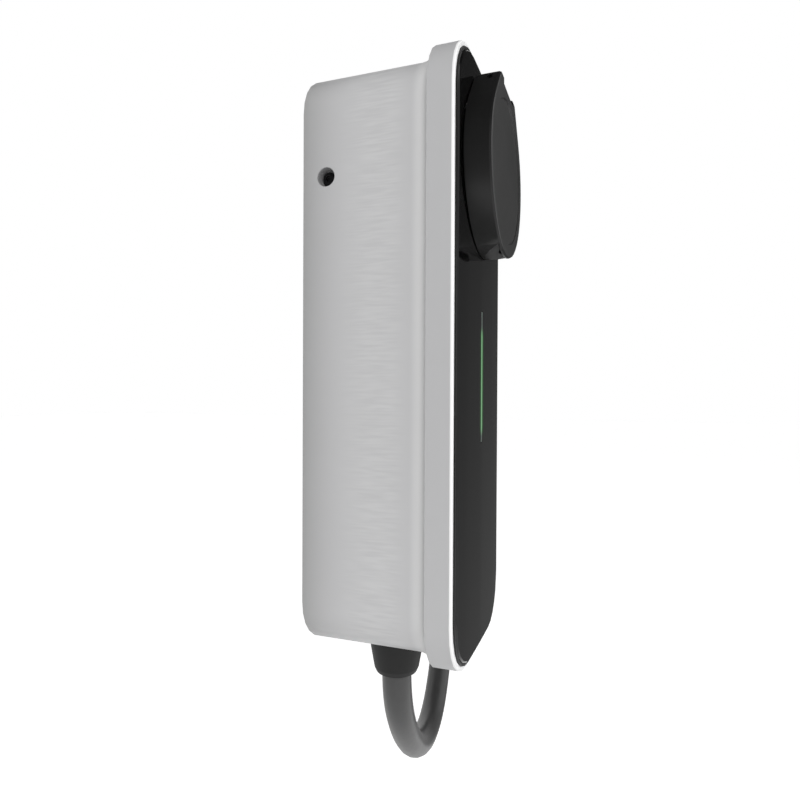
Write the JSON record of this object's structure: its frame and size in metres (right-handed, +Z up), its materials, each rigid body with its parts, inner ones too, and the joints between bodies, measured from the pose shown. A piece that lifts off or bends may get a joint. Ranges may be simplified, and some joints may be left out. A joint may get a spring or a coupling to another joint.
{
  "type": "wallbox",
  "caption": "Slim upright wall box for charging electric cars, with a flared grey housing, gloss black front, hinged round socket lid and supply lead.",
  "frame": {"origin": "middle of the rear base's flat wall face", "axes": "+X across the box, to the right seen from the front; +Y into the wall; +Z up"},
  "size_m": [0.428, 0.1067, 0.4626],
  "materials": {
    "grey_asa": "light grey moulded plastic, fine satin",
    "black_asa": "black moulded plastic, satin",
    "black_glass": "gloss black front",
    "light_guide": "milky light guide, lit green",
    "dark_moulding": "dark grey moulded plastic",
    "seal_rubber": "black rubber, matt",
    "cable_rubber": "black rubber sheath, satin",
    "steel": "plain stainless steel",
    "silvered_brass": "silver-plated brass",
    "circuit_board": "green circuit board",
    "module_grey": "grey component housings",
    "terminal_grey": "grey terminal block",
    "fuse_glass": "ceramic fuse",
    "ribbon_grey": "grey ribbon cable",
    "brown_wire": "brown insulation",
    "black_wire": "black insulation",
    "grey_wire": "grey insulation",
    "blue_wire": "blue insulation",
    "earth_wire": "green and yellow insulation",
    "white_wire": "white insulation"
  },
  "bodies": {
    "wallbox": {"housing": "grey_asa", "front_frame": "black_asa", "socket_shroud": "black_asa", "socket_insert": "black_asa", "coil_tie_top": "black_asa", "coil_tie_low": "black_asa", "front_panel": "black_glass", "light_guide": "light_guide", "rear_base": "dark_moulding", "current_sensor": "dark_moulding", "lock_actuator": "dark_moulding", "gland_body": "dark_moulding", "gland_nut": "dark_moulding", "front_gasket": "seal_rubber", "gland_seal": "seal_rubber", "strain_boot": "seal_rubber", "lead_end": "seal_rubber", "supply_cable": "cable_rubber", "cable_coil": "cable_rubber", "lid_pin": "steel", "lid_spring": "steel", "security_screw_left": "steel", "security_screw_right": "steel", "contact_l1": "silvered_brass", "contact_l2": "silvered_brass", "contact_l3": "silvered_brass", "contact_n": "silvered_brass", "contact_pe": "silvered_brass", "contact_cp": "silvered_brass", "contact_pp": "silvered_brass", "power_board": "circuit_board", "control_board": "circuit_board", "led_board": "circuit_board", "antenna_board": "circuit_board", "relay_left": "module_grey", "relay_right": "module_grey", "power_supply": "module_grey", "terminal_block": "terminal_grey", "fuse": "fuse_glass", "ribbon_cable": "ribbon_grey", "wire_l1": "brown_wire", "core_l1": "brown_wire", "wire_l2": "black_wire", "core_l2": "black_wire", "wire_l3": "grey_wire", "core_l3": "grey_wire", "wire_n": "blue_wire", "core_n": "blue_wire", "wire_pe": "earth_wire", "core_pe": "earth_wire", "wire_cp": "white_wire", "wire_pp": "white_wire"},
    "lid": {"lid": "black_asa", "lid_seal": "seal_rubber"},
    "lock_pin": {"lock_pin": "steel"}
  },
  "joints": [
    {"name": "lid_hinge", "type": "hinge", "parent": "wallbox", "child": "lid", "pos_m": [0, -0.1006, 0.153], "axis": [-1, 0, 0], "range_deg": [0, 90], "stiffness_Nm_per_rad": 0.01, "springref_deg": -28.65},
    {"name": "lock_slide", "type": "slide", "parent": "wallbox", "child": "lock_pin", "axis": [0, 0, -1], "range_m": [0, 0.006]}
  ]
}
